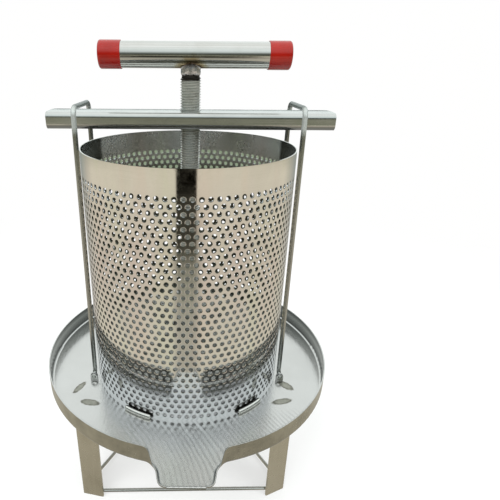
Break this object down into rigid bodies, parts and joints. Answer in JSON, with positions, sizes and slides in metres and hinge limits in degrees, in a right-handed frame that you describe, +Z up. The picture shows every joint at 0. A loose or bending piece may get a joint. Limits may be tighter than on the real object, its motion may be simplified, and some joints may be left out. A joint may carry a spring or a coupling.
{
  "type": "basket screw press",
  "caption": "Free-standing stainless screw press: perforated round basket in a spouted tray on angle legs, rod hoops, box crossbeam and T-handle screw with red end caps.",
  "frame": {"origin": "on the ground under the centre of the overall footprint; the basket's axis stands at x = 0, y = +0.0115 m, and the screw's at x = +0.002 m", "axes": "+Z up along the screw, -Y towards the pouring spout, X along the crossbeam"},
  "size_m": [0.332, 0.355, 0.5042],
  "materials": {
    "tray_steel": "satin, with a wavy rolled sheen",
    "leg_steel": "satin",
    "rod_steel": "polished",
    "basket_steel": "mirror polished",
    "beam_steel": "polished",
    "plate_steel": "satin",
    "screw_steel": "machined",
    "handle_steel": "polished",
    "weld_metal": "rippled weld bead with heat tint",
    "nut_bronze": "machined",
    "cap_red": "smooth moulded"
  },
  "bodies": {
    "stand": {"tray_pan": "tray_steel", "leg_front_left": "leg_steel", "leg_front_right": "leg_steel", "leg_rear": "leg_steel", "tie_rod_front": "rod_steel", "tie_rod_left": "rod_steel", "tie_rod_right": "rod_steel", "basket_locators": "rod_steel", "hoop_lugs_left": "rod_steel", "hoop_lugs_right": "rod_steel"},
    "hoop_left": {"hoop_left": "rod_steel", "hoop_clips_left": "rod_steel"},
    "hoop_right": {"hoop_right": "rod_steel", "hoop_clips_right": "rod_steel"},
    "basket": {"basket_shell": "basket_steel", "basket_base": "basket_steel"},
    "beam": {"crossbeam": "beam_steel", "beam_nut": "nut_bronze"},
    "press_plate": {"press_plate": "plate_steel", "plate_ribs": "plate_steel", "plate_hub": "plate_steel", "hub_bolts": "rod_steel", "thrust_washer": "nut_bronze"},
    "screw": {"screw_spindle": "screw_steel", "handle_tube": "handle_steel", "handle_weld": "weld_metal", "handle_cap_left": "cap_red", "handle_cap_right": "cap_red"}
  },
  "joints": [
    {"name": "hoop_left_tilt", "type": "hinge", "parent": "stand", "child": "hoop_left", "pos_m": [-0.1082, 0.0115, 0.1475], "axis": [0, -1, 0], "range_deg": [0, 65]},
    {"name": "hoop_right_tilt", "type": "hinge", "parent": "stand", "child": "hoop_right", "pos_m": [0.1082, 0.0115, 0.1475], "axis": [0, 1, 0], "range_deg": [0, 65]},
    {"name": "basket_lift", "type": "slide", "parent": "stand", "child": "basket", "axis": [0, 0, 1], "range_m": [0, 0.015]},
    {"name": "beam_float", "type": "slide", "parent": "stand", "child": "beam", "axis": [0, 0, 1], "range_m": [0, 0.002]},
    {"name": "plate_travel", "type": "slide", "parent": "beam", "child": "press_plate", "axis": [0, 0, 1], "range_m": [-0.0281, 0.2081]},
    {"name": "screw_turn", "type": "hinge", "parent": "press_plate", "child": "screw", "pos_m": [0.002, 0.0115, 0.4913], "axis": [0, 0, 1], "range_deg": [-4032, 29952]}
  ],
  "couplings": [
    {"joint": "plate_travel", "follows": "screw_turn", "m_per_rad": 0.00039789}
  ]
}
